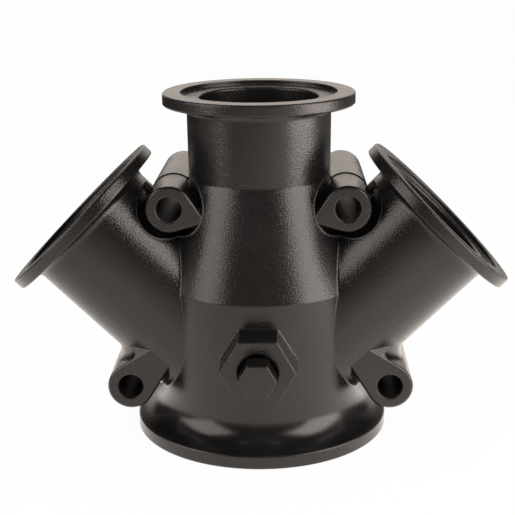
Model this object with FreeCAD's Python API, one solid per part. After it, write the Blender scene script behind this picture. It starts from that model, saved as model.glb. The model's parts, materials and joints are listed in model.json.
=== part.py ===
"""Wye cross fitting: one moulded body with four flanged openings, and its port plug.

The bottom opening is the large one. Three smaller outlets leave the body, one straight up
and one to each side, slanted up. Four bolt lugs run from front to back, and a hexagonal boss
on the front holds a pipe plug. Millimetres, +Z up. The origin is the centre of the underside
of the bottom flange.
"""
import FreeCAD, Part
import math
import os

# Bottom flange and trunk
inlet_bore_radius = 38.1
inlet_wall = 5.8
inlet_flange_radius = 56.1
inlet_flange_thickness = 6.0
inlet_gasket_radius = 46.3
cove_radius = 11.5
cone_foot_height = 67.4
cone_top_height = 113.7

# Outlets: the neck on top and the two slanted branches
outlet_bore_radius = 25.6
outlet_wall = 5.15
outlet_draft = 0.5
outlet_flange_radius = 41.275
outlet_flange_thickness = 5.1
outlet_gasket_radius = 33.7
outlet_flange_fillet = 3.5
gasket_recess_depth = 2.0
overall_height = 150.0
branch_angle = 45.0
branch_crossing_height = 17.2
branch_length = 112.9
branch_root = 12.0
crease_fillet = 1.0
bore_cone_top_height = 92.0

# Bolt lugs, placed from the axis of the branch that carries them
bolt_hole_radius = 5.4
lug_radius = 10.0
lug_face = 26.1
lug_length = 54.5
lower_lug_run = 45.3
lower_lug_offset = 34.4
lower_web_reach = 21.5
lower_web_width = 10.6
lower_web_fillet = 5.0
lower_web_root = 2.0
upper_lug_run = 87.9
upper_lug_offset = 34.9
upper_web_dip = 20.0
upper_web_width = 3.0
rear_web_depth = 22.0
lug_draft = 0.7
parting_step = 0.4

# Clearance round the front half of an upper lug
pocket_radius = 14.0
pocket_corner = 1.2
pocket_floor_wall = 3.2

# Hexagonal boss and plug on the front
port_height = 43.0
port_boss_flats = 27.4
port_boss_front = 56.8
port_boss_draft = 1.0
port_boss_root_fillet = 0.8
thread_radius = 6.9
thread_clearance = 0.1
port_mouth_radius = 8.6
port_relief_radius = 7.6
port_relief_depth = 3.0
plug_flats = 13.8
plug_corner_radius = 0.8
plug_head_height = 9.7
plug_head_seat = 0.3
plug_shank_length = 12.0

# Broken edges
rim_edge = 0.5
lug_edge = 0.8
hole_chamfer = 0.4
bore_edge = 0.6
boss_edge = 0.4
plug_edge = 0.3

trunk_radius = inlet_bore_radius + inlet_wall
outlet_radius = outlet_bore_radius + outlet_wall
neck_length = overall_height - cone_top_height
X_AXIS = FreeCAD.Vector(1, 0, 0)
Y_AXIS = FreeCAD.Vector(0, 1, 0)
Z_AXIS = FreeCAD.Vector(0, 0, 1)
ORIGIN = FreeCAD.Vector(0, 0, 0)


def profile_revolved(points):
    """Solid of revolution about Z from an outline of (radius, height) corners."""
    corners = [FreeCAD.Vector(0, radius, height) for radius, height in points]
    wire = Part.makePolygon(corners + corners[:1])
    return Part.Face(wire).revolve(ORIGIN, Z_AXIS, 360)


def round_edges(solid, radius, size, height):
    """Fillets the circular edges of the given radius at the given height about Z."""
    picked = []
    for edge in solid.Edges:
        curve = edge.Curve
        if isinstance(curve, Part.Circle) and abs(curve.Radius - radius) < 0.001:
            if abs(curve.Center.z - height) < 0.001:
                picked.append(edge)
    return solid.makeFillet(size, picked)


def edges_in_plane(solid, y):
    """Edges that lie in the plane of the given Y."""
    picked = []
    for edge in solid.Edges:
        box = edge.BoundBox
        if abs(box.YMin - y) < 0.001 and abs(box.YMax - y) < 0.001:
            picked.append(edge)
    return picked


def branch_placement():
    """Frame of the +X branch: origin where it crosses the trunk's axis, Z along the branch."""
    crossing = FreeCAD.Vector(0, 0, branch_crossing_height)
    return FreeCAD.Placement(crossing, FreeCAD.Rotation(Y_AXIS, branch_angle))


def placed(shape, placement):
    moved = shape.copy()
    moved.Placement = placement.multiply(moved.Placement)
    return moved


def both_sides(shapes):
    """The given shapes of the +X side and their mirror images on the -X side."""
    return shapes + [shape.mirror(ORIGIN, X_AXIS) for shape in shapes]


def trunk():
    """Bottom flange, its cove, the straight trunk and the cone above it."""
    flange_top = inlet_flange_thickness
    cove_top = flange_top + cove_radius
    cove_foot = trunk_radius + cove_radius
    middle = cove_radius * (1 - math.sqrt(0.5))
    low = FreeCAD.Vector(0, cove_foot, flange_top)
    mid = FreeCAD.Vector(0, trunk_radius + middle, flange_top + middle)
    high = FreeCAD.Vector(0, trunk_radius, cove_top)
    before = [
        ORIGIN,
        FreeCAD.Vector(0, inlet_flange_radius - rim_edge, 0),
        FreeCAD.Vector(0, inlet_flange_radius, rim_edge),
        FreeCAD.Vector(0, inlet_flange_radius, flange_top - rim_edge),
        FreeCAD.Vector(0, inlet_flange_radius - rim_edge, flange_top),
        low,
    ]
    after = [
        high,
        FreeCAD.Vector(0, trunk_radius, cone_foot_height),
        FreeCAD.Vector(0, outlet_radius, cone_top_height),
        FreeCAD.Vector(0, 0, cone_top_height),
        ORIGIN,
    ]
    edges = Part.makePolygon(before).Edges
    edges.append(Part.Arc(low, mid, high).toShape())
    edges.extend(Part.makePolygon(after).Edges)
    return Part.Face(Part.Wire(edges)).revolve(ORIGIN, Z_AXIS, 360)


def outlet(length):
    """Flanged pipe, solid inside: its face at height 0 and its tapered pipe running down."""
    under = -outlet_flange_thickness
    taper = math.tan(math.radians(outlet_draft))
    pipe_top = outlet_radius + (neck_length - outlet_flange_thickness) * taper
    pipe_end = outlet_radius + (neck_length - length) * taper
    solid = profile_revolved([
        (0, 0),
        (outlet_flange_radius - rim_edge, 0),
        (outlet_flange_radius, -rim_edge),
        (outlet_flange_radius, under + rim_edge),
        (outlet_flange_radius - rim_edge, under),
        (pipe_top, under),
        (pipe_end, -length),
        (0, -length),
    ])
    return round_edges(solid, pipe_top, outlet_flange_fillet, under)


def branch():
    """Slanted outlet, from its flange down to a root inside the trunk."""
    face = FreeCAD.Placement(Z_AXIS * branch_length, FreeCAD.Rotation())
    return placed(outlet(branch_length - branch_root), branch_placement().multiply(face))


def branch_core():
    """Pipe wall that a clearance pocket leaves round the bore of a branch."""
    radius = outlet_bore_radius + pocket_floor_wall
    top = branch_length - outlet_flange_thickness
    core = profile_revolved([(0, branch_root), (radius, branch_root), (radius, top), (0, top)])
    return placed(core, branch_placement())


def upper_lug_centre():
    """Bolt axis above the branch, in the plane Y = 0."""
    return branch_placement().multVec(FreeCAD.Vector(-upper_lug_offset, 0, upper_lug_run))


def lower_lug_centre():
    """Bolt axis below the branch, in the plane Y = 0."""
    return branch_placement().multVec(FreeCAD.Vector(lower_lug_offset, 0, lower_lug_run))


def upper_web_direction():
    """Along the upper web, from its bolt axis down towards the neck."""
    dip = math.radians(upper_web_dip)
    return FreeCAD.Vector(-math.cos(dip), 0, -math.sin(dip))


def lower_web_direction():
    """Along the lower web, from its bolt axis square to the branch's axis."""
    return branch_placement().Rotation.multVec(-X_AXIS)


def lug_outline(centre, radius, along, reach, width):
    """Round lug with a web that narrows to the given width at the given reach."""
    across = along.cross(Y_AXIS)
    corner = math.hypot(reach, width / 2)
    lean = math.asin(radius / corner) - math.asin(width / 2 / corner)
    foot = centre + along * (radius * math.sin(lean))
    half = across * (radius * math.cos(lean))
    end = centre + along * reach
    half_end = across * (width / 2)
    edges = [
        Part.Arc(foot - half, centre - along * radius, foot + half).toShape(),
        Part.makeLine(foot + half, end + half_end),
        Part.makeLine(end + half_end, end - half_end),
        Part.makeLine(end - half_end, foot - half),
    ]
    return Part.Face(Part.Wire(edges))


def upper_lug_outline():
    """Front of an upper lug: its web runs just past the rim of the pocket round it."""
    reach = pocket_radius + lug_edge
    return lug_outline(upper_lug_centre(), lug_radius, upper_web_direction(), reach, upper_web_width)


def lower_lug_outline():
    centre = lower_lug_centre()
    return lug_outline(centre, lug_radius, lower_web_direction(), lower_web_reach, lower_web_width)


def pocket():
    """Clearance round the front half of an upper lug, with its ends at the web rounded."""
    disc = Part.Face(Part.Wire(Part.makeCircle(pocket_radius, upper_lug_centre(), Y_AXIS)))
    ring = disc.cut(upper_lug_outline()).Faces[0]
    ring = ring.makeOffset2D(-pocket_corner).makeOffset2D(pocket_corner)
    ring.translate(Y_AXIS * -outlet_flange_radius)
    return ring.extrude(Y_AXIS * outlet_flange_radius)


def lug_front(outline):
    """Front half of a lug, from its front face back to the middle plane."""
    outline.translate(Y_AXIS * -lug_face)
    solid = outline.extrude(Y_AXIS * lug_face)
    return solid.makeChamfer(lug_edge, edges_in_plane(solid, -lug_face))


def lug_boss(centre, radius, start):
    """Round rear end of a lug, drafted from the given start back to its chamfered end."""
    length = lug_length - start
    end_radius = radius - length * math.tan(math.radians(lug_draft))
    boss = Part.makeCone(radius, end_radius, length, centre + Y_AXIS * start, Y_AXIS)
    rim = [edge for edge in boss.Edges if edge.BoundBox.YMin > lug_length - 0.001]
    return boss.makeChamfer(lug_edge, rim)


def upper_lug_rear():
    """Rear half of an upper lug: a long drafted boss with a short web beside the neck."""
    centre = upper_lug_centre()
    radius = lug_radius + parting_step
    boss = lug_boss(centre, radius, 0)
    web_radius = radius - lug_length * math.tan(math.radians(lug_draft)) - lug_edge
    outline = lug_outline(centre, web_radius, upper_web_direction(), pocket_radius, upper_web_width)
    return boss.fuse(outline.extrude(Y_AXIS * rear_web_depth))


def web_side_edges(solid, outer):
    """Edges where the outer or the inner side of the lower web meets the branch."""
    to_branch = branch_placement().inverse()
    picked = []
    for edge in solid.Edges:
        plain = isinstance(edge.Curve, (Part.Circle, Part.Line))
        middle = to_branch.multVec(edge.valueAt((edge.FirstParameter + edge.LastParameter) / 2))
        on_pipe = abs(math.hypot(middle.x, middle.y) - outlet_radius) < 1
        long = edge.BoundBox.YLength > rear_web_depth
        if not plain and on_pipe and long and (middle.z > lower_lug_run) == outer:
            picked.append(edge)
    return picked


def lower_lug():
    """Lower lug on its piece of pipe wall, with both sides of its web blended into the pipe."""
    centre = lower_lug_centre()
    outline = lower_lug_outline()
    outline.translate(Y_AXIS * -lug_face)
    web = outline.extrude(Y_AXIS * (lug_face + rear_web_depth))
    web_end = centre + lower_web_direction() * lower_web_reach
    rim = [edge for edge in edges_in_plane(web, -lug_face) if edge.distToShape(Part.Vertex(web_end))[0] > lug_face]
    web = web.makeChamfer(lug_edge, rim)
    web = web.fuse(lug_boss(centre, lug_radius, rear_web_depth))
    wall = branch().fuse(web)
    wall = wall.makeFillet(lower_web_fillet, web_side_edges(wall, True))
    wall = wall.makeFillet(lower_web_root, web_side_edges(wall, False))
    half = lug_radius + 2 * lower_web_fillet
    corner = FreeCAD.Vector(0, -outlet_flange_radius, lower_lug_run - half)
    block = Part.makeBox(2 * outlet_flange_radius, 3 * outlet_flange_radius, 2 * half, corner)
    core = Part.makeCylinder(outlet_bore_radius + pocket_floor_wall / 2, branch_length)
    return wall.common(placed(block, branch_placement())).cut(placed(core, branch_placement()))


def lugs():
    """The two bolt lugs of the +X side without their holes."""
    return [lug_front(upper_lug_outline()), upper_lug_rear(), lower_lug()]


def bolt_hole(centre):
    """Straight hole along Y with a chamfer at each end."""
    length = lug_face + lug_length
    start = FreeCAD.Vector(centre.x, -lug_face, centre.z)
    finish = FreeCAD.Vector(centre.x, lug_length, centre.z)
    wide = bolt_hole_radius + hole_chamfer
    hole = Part.makeCylinder(bolt_hole_radius, length, start, Y_AXIS)
    front = Part.makeCone(wide, bolt_hole_radius, hole_chamfer, start, Y_AXIS)
    rear = Part.makeCone(wide, bolt_hole_radius, hole_chamfer, finish, -Y_AXIS)
    return hole.fuse([front, rear])


def hexagon(flats, front):
    """Hexagon in a plane of constant Y, with a flat at the top and at the bottom."""
    corner_radius = flats / math.sqrt(3)
    corners = []
    for step in range(7):
        turn = math.radians(60 * step)
        x = corner_radius * math.cos(turn)
        z = port_height + corner_radius * math.sin(turn)
        corners.append(FreeCAD.Vector(x, -front, z))
    return Part.makePolygon(corners)


def port_boss():
    """Hexagonal boss, drafted towards its front, with its root behind the trunk wall."""
    root = inlet_bore_radius - inlet_wall
    root_flats = port_boss_flats + 2 * (port_boss_front - root) * math.tan(math.radians(port_boss_draft))
    front = hexagon(port_boss_flats, port_boss_front)
    rear = hexagon(root_flats, root)
    boss = Part.makeLoft([front, rear], True, True)
    return boss.makeChamfer(boss_edge, edges_in_plane(boss, -port_boss_front))


def port_hole():
    """Threaded hole from the boss to the inside, with a relief and a chamfered mouth."""
    mouth = FreeCAD.Vector(0, -port_boss_front, port_height)
    flare = port_mouth_radius - port_relief_radius
    depth = port_boss_front - inlet_bore_radius + inlet_wall
    bore = Part.makeCylinder(thread_radius, depth, mouth, Y_AXIS)
    relief = Part.makeCylinder(port_relief_radius, port_relief_depth, mouth, Y_AXIS)
    chamfer = Part.makeCone(port_mouth_radius, port_relief_radius, flare, mouth, Y_AXIS)
    return bore.fuse([relief, chamfer])


def trunk_bore():
    """Inside of the trunk and neck, with the gasket recesses of their two flanges."""
    top_seat = overall_height - gasket_recess_depth
    bore = profile_revolved([
        (0, 0),
        (inlet_gasket_radius, 0),
        (inlet_gasket_radius, gasket_recess_depth),
        (inlet_bore_radius + bore_edge, gasket_recess_depth),
        (inlet_bore_radius, gasket_recess_depth + bore_edge),
        (inlet_bore_radius, cone_foot_height),
        (outlet_bore_radius, bore_cone_top_height),
        (outlet_bore_radius, top_seat - bore_edge),
        (outlet_bore_radius + bore_edge, top_seat),
        (outlet_gasket_radius, top_seat),
        (outlet_gasket_radius, overall_height),
        (0, overall_height),
    ])
    return bore


def branch_bore():
    """Inside of a branch, from its gasket recess to the trunk's bore."""
    seat = branch_length - gasket_recess_depth
    bore = profile_revolved([
        (0, branch_root),
        (outlet_bore_radius, branch_root),
        (outlet_bore_radius, seat - bore_edge),
        (outlet_bore_radius + bore_edge, seat),
        (outlet_gasket_radius, seat),
        (outlet_gasket_radius, branch_length),
        (0, branch_length),
    ])
    return placed(bore, branch_placement())


def boss_root_edges(solid):
    """Edges where the hexagonal boss leaves the trunk."""
    reach = port_boss_flats * 0.75
    picked = []
    for edge in solid.Edges:
        box = edge.BoundBox
        beside_axis = abs(box.XMin) < reach and abs(box.XMax) < reach
        level = abs(box.ZMin - port_height) < reach and abs(box.ZMax - port_height) < reach
        on_wall = box.YMax < -inlet_bore_radius and box.YMin > -trunk_radius - 0.001
        if beside_axis and level and on_wall:
            picked.append(edge)
    return picked


def crease_edges(solid):
    """Edges where a branch meets the cone or the straight trunk."""
    picked = []
    for edge in solid.Edges:
        if not isinstance(edge.Curve, (Part.Circle, Part.Line)):
            picked.append(edge)
    return picked


def body():
    """The whole moulding."""
    hull = trunk().fuse(both_sides([branch()]))
    hull = hull.makeFillet(crease_fillet, crease_edges(hull))
    hull = hull.fuse(port_boss())
    hull = hull.makeFillet(port_boss_root_fillet, boss_root_edges(hull))
    neck = outlet(overall_height - cone_foot_height)
    neck.translate(Z_AXIS * overall_height)
    holes = both_sides([branch_bore(), bolt_hole(upper_lug_centre()), bolt_hole(lower_lug_centre())])
    for piece in both_sides([pocket()]):
        hull = hull.cut(piece)
    for piece in [neck] + both_sides([branch_core()] + lugs()):
        hull = hull.fuse(piece)
    for piece in [trunk_bore(), port_hole()] + holes:
        hull = hull.cut(piece)
    return hull.removeSplitter().Solids[0]


def plug():
    """Port plug: hexagonal head and a threaded shank that stops inside the wall."""
    seat = port_boss_front - plug_head_seat
    head = Part.Face(hexagon(plug_flats, seat)).extrude(Y_AXIS * -plug_head_height)
    front = seat + plug_head_height
    corners = [edge for edge in head.Edges if edge.BoundBox.YLength > plug_head_height - 0.001]
    head = head.makeFillet(plug_corner_radius, corners)
    head = head.makeChamfer(plug_edge, edges_in_plane(head, -front))
    start = FreeCAD.Vector(0, -seat, port_height)
    shank = Part.makeCylinder(thread_radius - thread_clearance, plug_shank_length, start, Y_AXIS)
    end = [edge for edge in shank.Edges if edge.BoundBox.YMin > plug_shank_length - seat - 0.001]
    shank = shank.makeChamfer(hole_chamfer, end)
    return head.fuse(shank).removeSplitter()


def main():
    os.makedirs("parts", exist_ok=True)
    body().exportStep("parts/manifold_body.step")
    plug().exportStep("parts/port_plug.step")


main()
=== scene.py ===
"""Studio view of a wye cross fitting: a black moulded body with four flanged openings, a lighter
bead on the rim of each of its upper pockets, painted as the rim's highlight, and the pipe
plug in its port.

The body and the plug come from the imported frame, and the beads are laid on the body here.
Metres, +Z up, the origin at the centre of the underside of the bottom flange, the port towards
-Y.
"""
import json
import math

import bpy
from mathutils import Matrix, Vector


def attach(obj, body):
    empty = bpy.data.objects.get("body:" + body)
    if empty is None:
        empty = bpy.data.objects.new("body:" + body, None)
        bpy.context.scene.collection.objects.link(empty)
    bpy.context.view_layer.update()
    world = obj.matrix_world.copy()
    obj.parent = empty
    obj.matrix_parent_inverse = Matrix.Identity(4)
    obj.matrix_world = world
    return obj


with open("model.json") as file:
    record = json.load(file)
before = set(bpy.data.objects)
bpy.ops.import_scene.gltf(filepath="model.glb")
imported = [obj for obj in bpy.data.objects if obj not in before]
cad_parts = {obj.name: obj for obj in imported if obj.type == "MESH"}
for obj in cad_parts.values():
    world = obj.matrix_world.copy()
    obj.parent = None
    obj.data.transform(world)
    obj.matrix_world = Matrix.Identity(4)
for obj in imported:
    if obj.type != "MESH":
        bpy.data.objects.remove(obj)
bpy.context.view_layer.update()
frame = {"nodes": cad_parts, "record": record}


# Fitting body: one injection moulding of black glass-filled plastic. The mould was spark
# eroded, which leaves a fine grain, and the fibres show as faint flecks. Its rims and lug
# edges are painted a little lighter, partly as wear and partly as a painted highlight where
# they glint.
class Tone:
    """A socket of a finish. Sums on it add Math nodes, and node() adds any other node."""

    def __init__(self, tree, socket=None):
        self.tree = tree
        self.socket = socket

    def node(self, kind, settings, sockets, output=0):
        made = self.tree.nodes.new("ShaderNode" + kind)
        for name, value in settings.items():
            setattr(made, name, value)
        for name, value in sockets.items():
            if isinstance(value, Tone):
                self.tree.links.new(value.socket, made.inputs[name])
            else:
                made.inputs[name].default_value = value
        return Tone(self.tree, made.outputs[output]) if made.outputs else None

    def maths(self, operation, first, second=0.0):
        return self.node("Math", {"operation": operation}, {0: first, 1: second})

    def __add__(self, other):
        return self.maths("ADD", self, other)

    def __sub__(self, other):
        return self.maths("SUBTRACT", self, other)

    def __rsub__(self, other):
        return self.maths("SUBTRACT", other, self)

    def __mul__(self, other):
        return self.maths("MULTIPLY", self, other)

    __radd__ = __add__
    __rmul__ = __mul__

    def ramp(self, low, high, start=0.0, end=1.0):
        """This value taken from low..high to start..end, and held there outside."""
        sockets = {"Value": self, "From Min": low, "From Max": high, "To Min": start, "To Max": end}
        return self.node("MapRange", {}, sockets)

    def along(self, axis):
        """The X, Y or Z of this place or direction."""
        return self.node("SeparateXYZ", {}, {"Vector": self}, output=axis)

    def between(self, first, second):
        """A colour between two colours, by this value."""
        factor_input, first_colour, second_colour, mixed_colour = 0, 6, 7, 2
        sockets = {factor_input: self, first_colour: first, second_colour: second}
        return self.node("Mix", {"data_type": "RGBA"}, sockets, output=mixed_colour)


def moulded_plastic(name, black, worn_and_glint, grain_size, base_roughness, dull=None):
    """Black plastic with a moulded grain of the given size in metres.

    black is the pair of colours that it wanders between, the next colour is that of its
    lightened edges, partly wear and partly a painted highlight where they glint, and dull is a
    mask of where it is rougher.
    """
    material = bpy.data.materials.new(name)
    material.use_nodes = True
    tree = material.node_tree
    surface = tree.nodes["Principled BSDF"]
    start = Tone(tree)
    place = start.node("TexCoord", {}, {}, output="Object")

    # The mould's grain, the marks of the plastic's flow, and the ends of the fibres.
    noise_low, noise_high = 0.3, 0.7
    flow_scale = 38.0
    fleck_core, fleck_rim = 0.10, 0.22
    grain = start.node("TexNoise", {}, {"Vector": place, "Scale": 1 / grain_size, "Detail": 0.0})
    sockets = {"Vector": place, "Scale": flow_scale, "Detail": 3.0, "Distortion": 0.8}
    flow = start.node("TexNoise", {}, sockets)
    fibre = start.node("TexVoronoi", {}, {"Vector": place, "Scale": 0.7 / grain_size})
    fleck = fibre.ramp(fleck_core, fleck_rim, 1.0, 0.0)

    # Edges are where the rounded normal leaves the true one. They are lightened in patches,
    # partly as wear and partly as a painted highlight where edges glint.
    edge_radius = 0.001
    edge_start, edge_full = 0.99, 0.86
    least_rub_and_glint = 0.35
    rounded = start.node("Bevel", {"samples": 8}, {"Radius": edge_radius})
    sharp = start.node("NewGeometry", {}, {}, output="Normal")
    normals = {0: rounded, 1: sharp}
    facing = start.node("VectorMath", {"operation": "DOT_PRODUCT"}, normals, output="Value")
    rubbed_and_glinting = facing.ramp(edge_start, edge_full) * flow.ramp(0.35, 0.6, least_rub_and_glint, 1.0)

    # Flow and flecks move the colour between the two blacks, and the lightened edges, partly
    # wear and partly a painted highlight, take it further.
    flow_share = 0.6
    fleck_share = 0.4
    worn_and_glint_share = 0.6
    shade = flow.ramp(noise_low, noise_high, 0.0, flow_share) + fleck * fleck_share
    colour = (rubbed_and_glinting * worn_and_glint_share).between(shade.between(black[0], black[1]), worn_and_glint)

    # The grain breaks the gloss into a fine speckle, less so towards the fitting's foot.
    smooth_height, grained_height = 0.015, 0.045
    least_grain = 0.25
    flow_gloss, flow_dull = -0.02, 0.03
    speckle_swing = 0.07
    worn_roughness = 0.05
    dull_roughness = 0.2
    grained = place.along("Z").ramp(smooth_height, grained_height, least_grain, 1.0)
    speckle = start.node("TexNoise", {}, {"Vector": place, "Scale": 1.1 / grain_size, "Detail": 0.0})
    roughness = base_roughness + flow.ramp(noise_low, noise_high, flow_gloss, flow_dull)
    roughness = roughness + speckle.ramp(noise_low, noise_high, -speckle_swing, speckle_swing) * grained
    roughness = roughness + rubbed_and_glinting * worn_roughness
    if dull:
        roughness = roughness + dull(start, place) * dull_roughness

    grain_depth = 0.14 * grain_size
    sockets = {"Height": grain * grained, "Strength": 1.0, "Distance": grain_depth, "Normal": rounded}
    bump = start.node("Bump", {}, sockets)

    warm_gloss = (1.0, 0.93, 0.9, 1.0)
    surface.inputs["Specular Tint"].default_value = warm_gloss
    tree.links.new(colour.socket, surface.inputs["Base Color"])
    tree.links.new(roughness.socket, surface.inputs["Roughness"])
    tree.links.new(bump.socket, surface.inputs["Normal"])
    return material


mounts = {mount["name"]: mount for mount in frame["record"]["mounts"]}
upper_bolt = mounts["upper_right_bolt"]
lower_bolt = mounts["lower_right_bolt"]


def bolt_holes(start, place):
    """1 inside the four bolt holes, which their core pins leave duller than the rest."""
    margin = 0.0001
    fade = 0.0003
    inside = 0.0
    for bolt in (upper_bolt, lower_bolt):
        aside = start.maths("ABSOLUTE", place.along("X")) - bolt["pos_m"][0]
        above = place.along("Z") - bolt["pos_m"][2]
        off_axis = start.maths("SQRT", aside * aside + above * above)
        edge = bolt["dims"]["r_mm"] / 1000 + margin
        inside = inside + off_axis.ramp(edge, edge + fade, 1.0, 0.0)
    return inside


body = frame["nodes"]["manifold_body"]
body_black = ((0.0053, 0.005, 0.0048, 1.0), (0.0094, 0.0088, 0.0085, 1.0))
# The lighter edge colour below is partly wear and partly a painted highlight where edges glint.
body_worn_and_glint = (0.045, 0.0415, 0.0395, 1.0)
body_grain = 0.00055
body_rough = 0.235
body_plastic = moulded_plastic("body_plastic", body_black, body_worn_and_glint, body_grain, body_rough, bolt_holes)
for slot in body.material_slots:
    slot.material = body_plastic


# Rim bead of each upper pocket: a thin bead of the same plastic laid along the edge of the
# hollow round the upper lug, painted much lighter than the rest. The lighter colour is a
# painted highlight, the glint along the pocket's rim. It fades out at both ends.
bead_radius = 0.00055
bead_circle = 0.0144
bead_start = 52.0
bead_sweep = 250.0
bead_points = 130
bead_tip = 0.1
before_body = -0.1
# The bead's colours are a painted highlight, far lighter than the body's, for the rim's glint.
bead_painted_glint = ((0.03, 0.0265, 0.0245, 1.0), (0.055, 0.049, 0.0455, 1.0))
bead_worn_and_glint = (0.09, 0.081, 0.076, 1.0)
bead_grain = 0.0004
bead_rough = 0.2
bead_glint_plastic = moulded_plastic("bead_glint_plastic", bead_painted_glint, bead_worn_and_glint, bead_grain, bead_rough)
lug_x = upper_bolt["pos_m"][0]
lug_z = upper_bolt["pos_m"][2]
for side, name in ((-1.0, "pocket_rim_glint_left"), (1.0, "pocket_rim_glint_right")):
    curve = bpy.data.curves.new(name, "CURVE")
    curve.dimensions = "3D"
    curve.bevel_depth = bead_radius
    curve.bevel_resolution = 3
    curve.use_fill_caps = True
    spline = curve.splines.new("POLY")
    spline.points.add(bead_points - 1)

    # Each point is dropped on the body from in front. Angles go up from the trunk's side.
    for number, point in enumerate(spline.points):
        share = number / (bead_points - 1)
        angle = math.radians(bead_start - bead_sweep * share)
        x = side * (lug_x - bead_circle * math.cos(angle))
        z = lug_z + bead_circle * math.sin(angle)
        spot = body.ray_cast((x, before_body, z), (0.0, 1.0, 0.0))[1]
        point.co = (*spot, 1.0)
        point.radius = bead_tip + (1 - bead_tip) * math.sqrt(math.sin(math.pi * share))
    source = bpy.data.objects.new(name + "_curve", curve)
    bpy.context.scene.collection.objects.link(source)
    evaluated = source.evaluated_get(bpy.context.evaluated_depsgraph_get())
    mesh = bpy.data.meshes.new_from_object(evaluated)
    bpy.data.objects.remove(source)
    bead = bpy.data.objects.new(name, mesh)
    bpy.context.scene.collection.objects.link(bead)
    mesh.materials.clear()
    mesh.materials.append(bead_glint_plastic)
    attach(bead, "root")


# Port plug: a small hexagon-head pipe plug of the same kind of plastic, screwed tight into
# the boss. Its head is a little smoother and warmer than the body.
plug = frame["nodes"]["port_plug"]
plug_black = ((0.0062, 0.0053, 0.0047, 1.0), (0.0105, 0.009, 0.0082, 1.0))
# The plug's edges are lightened a little: partly wear, partly a painted highlight where they glint.
plug_worn_and_glint = (0.026, 0.022, 0.02, 1.0)
plug_grain = 0.0005
plug_rough = 0.22
plug_plastic = moulded_plastic("plug_plastic", plug_black, plug_worn_and_glint, plug_grain, plug_rough)
for slot in plug.material_slots:
    slot.material = plug_plastic


# Pale floor under the fitting, seen as white. It keeps a small share of matt paint, so that
# the fitting's shadow stays on it. In the gloss it glows, brightest near the fitting and to
# its right, and darkest far behind.
floor_half = 4.0
floor_level = -0.0003
corners = []
for x, y in ((-1, -1), (1, -1), (1, 1), (-1, 1)):
    corners.append((x * floor_half, y * floor_half, floor_level))
floor_mesh = bpy.data.meshes.new("floor")
floor_mesh.from_pydata(corners, [], [(0, 1, 2, 3)])
floor = bpy.data.objects.new("floor", floor_mesh)
bpy.context.scene.collection.objects.link(floor)

floor_paint = bpy.data.materials.new("floor_paint")
floor_paint.use_nodes = True
floor_mesh.materials.append(floor_paint)
tree = floor_paint.node_tree
tree.nodes.clear()
start = Tone(tree)
camera_ray = start.node("LightPath", {}, {}, output="Is Camera Ray")
glossy_ray = start.node("LightPath", {}, {}, output="Is Glossy Ray")
through_ray = start.node("LightPath", {}, {}, output="Is Transmission Ray")
white_share = 0.96
seen = start.maths("MAXIMUM", camera_ray, through_ray) * white_share + glossy_ray

place = start.node("TexCoord", {}, {}, output="Object")
reach = start.node("VectorMath", {"operation": "LENGTH"}, {0: place}, output="Value")
near_end, far_start = 0.25, 0.6
far = reach.ramp(near_end, far_start)
rightward = start.maths("DIVIDE", place.along("X"), reach)
backward = start.maths("DIVIDE", place.along("Y"), reach)
near_left, near_right = 1.36, 1.75
near_light = rightward.ramp(0.0, 0.8, near_left, near_right)
far_left, far_middle, more_at_right = 0.35, 0.78, 1.0
sideways = rightward.ramp(-0.7, 0.1, far_left, far_middle) + rightward.ramp(0.2, 0.8, 0.0, more_at_right)
far_behind = 0.12
far_light = sideways * backward.ramp(-0.1, 0.4, 1.0, far_behind)
light = near_light * (1 - far) + far_light * far
level = 1 - glossy_ray + glossy_ray * light

pure_white = (1.0, 1.0, 1.0, 1.0)
warm_floor = (1.0, 0.93, 0.87, 1.0)
pale_grey = (0.86, 0.86, 0.86, 1.0)
tint = glossy_ray.between(pure_white, warm_floor)
matt = start.node("BsdfDiffuse", {}, {"Color": pale_grey})
white = start.node("Emission", {}, {"Color": tint, "Strength": level})
mixed = start.node("MixShader", {}, {0: seen, 1: matt, 2: white})
start.node("OutputMaterial", {}, {"Surface": mixed})


# The studio round the fitting: a white wall behind it that is brighter high up, darkness at
# its sides, and a dim room in front. Gloss shows them as the light and dark bands along the
# tubes. The camera sees white all round.
world = bpy.data.worlds.new("studio")
bpy.context.scene.world = world
world.use_nodes = True
tree = world.node_tree
tree.nodes.clear()
start = Tone(tree)
camera_ray = start.node("LightPath", {}, {}, output="Is Camera Ray")
glossy_ray = start.node("LightPath", {}, {}, output="Is Glossy Ray")
through_ray = start.node("LightPath", {}, {}, output="Is Transmission Ray")
shown = start.maths("MAXIMUM", glossy_ray, through_ray)
direction = start.node("TexCoord", {}, {}, output="Generated")
aside = start.maths("ABSOLUTE", direction.along("X"))
behind = direction.along("Y")
above = direction.along("Z")

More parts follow.
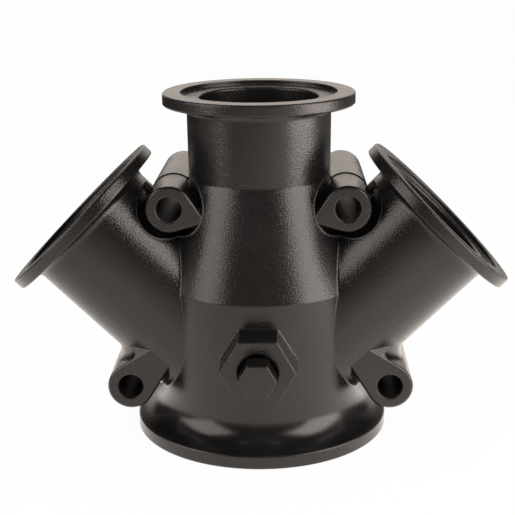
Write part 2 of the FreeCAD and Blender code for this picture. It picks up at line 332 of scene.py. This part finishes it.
wall_narrowing = 1.6
wall_top = 1.65
wall = (behind - aside * wall_narrowing).ramp(0.0, 0.3) * above.ramp(0.15, 0.6, 1.0, wall_top)
front_middle, front_sides = 0.5, 0.04
front_top = 0.15
front = behind.ramp(-0.95, -0.6, front_middle, front_sides) * above.ramp(0.1, 0.3, 1.0, front_top)
even_light = 0.6
room = shown * (wall + front) + (1 - shown) * even_light
level = start.maths("MAXIMUM", camera_ray, room)
warm_room = (1.0, 0.9, 0.82, 1.0)
tint = glossy_ray.between(pure_white, warm_room)
light = start.node("Background", {}, {"Color": tint, "Strength": level})
start.node("OutputWorld", {}, {"Surface": light})


# Two soft boxes stand in front of the fitting, one well to each side of the camera. The right
# one is smaller, brighter and nearer.
soft_box_colour = (1.0, 0.965, 0.945)


def soft_box(name, azimuth, distance, low, width, height, brightness):
    """Lamp that faces the fitting. azimuth is in degrees from the port's side towards +X."""
    data = bpy.data.lights.new(name, "AREA")
    data.shape = "RECTANGLE"
    data.size = width
    data.size_y = height
    data.energy = brightness * math.pi * width * height
    data.color = soft_box_colour
    lamp = bpy.data.objects.new(name, data)
    turn = math.radians(azimuth)
    lamp.location = (distance * math.sin(turn), -distance * math.cos(turn), low + height / 2)
    facing = Vector((-math.sin(turn), math.cos(turn), 0.0))
    lamp.rotation_euler = facing.to_track_quat("-Z", "Z").to_euler()
    lamp.visible_camera = False
    bpy.context.scene.collection.objects.link(lamp)


soft_box("soft_box_left", azimuth=-65.0, distance=1.0, low=0.14, width=1.02, height=0.9, brightness=3.3)
soft_box("soft_box_right", azimuth=64.0, distance=0.55, low=0.07, width=0.72, height=0.42, brightness=5.4)


# Camera at the photograph's place: a little over half a metre from the fitting and above it,
# looking down at it. Its tilt to the side is the photograph's own.
camera_place = (0.013471, -0.508985, 0.222627)
camera_data = bpy.data.cameras.new("camera")
camera_data.sensor_width = 36.0
camera_data.lens = 83.43
camera = bpy.data.objects.new("camera", camera_data)
bpy.context.scene.collection.objects.link(camera)
bpy.context.scene.camera = camera
pitch = math.radians(16.075)
yaw = math.radians(-1.659)
roll = math.radians(-0.608)
ahead = Vector((math.sin(yaw) * math.cos(pitch), math.cos(yaw) * math.cos(pitch), -math.sin(pitch)))
across = ahead.cross(Vector((0.0, 0.0, 1.0))).normalized()
upward = across.cross(ahead)
right = across * math.cos(roll) + upward * math.sin(roll)
up = right.cross(ahead)
turned = Matrix((right, up, -ahead)).transposed().to_4x4()
camera.matrix_world = Matrix.Translation(camera_place) @ turned
bpy.context.scene.view_settings.view_transform = "Standard"
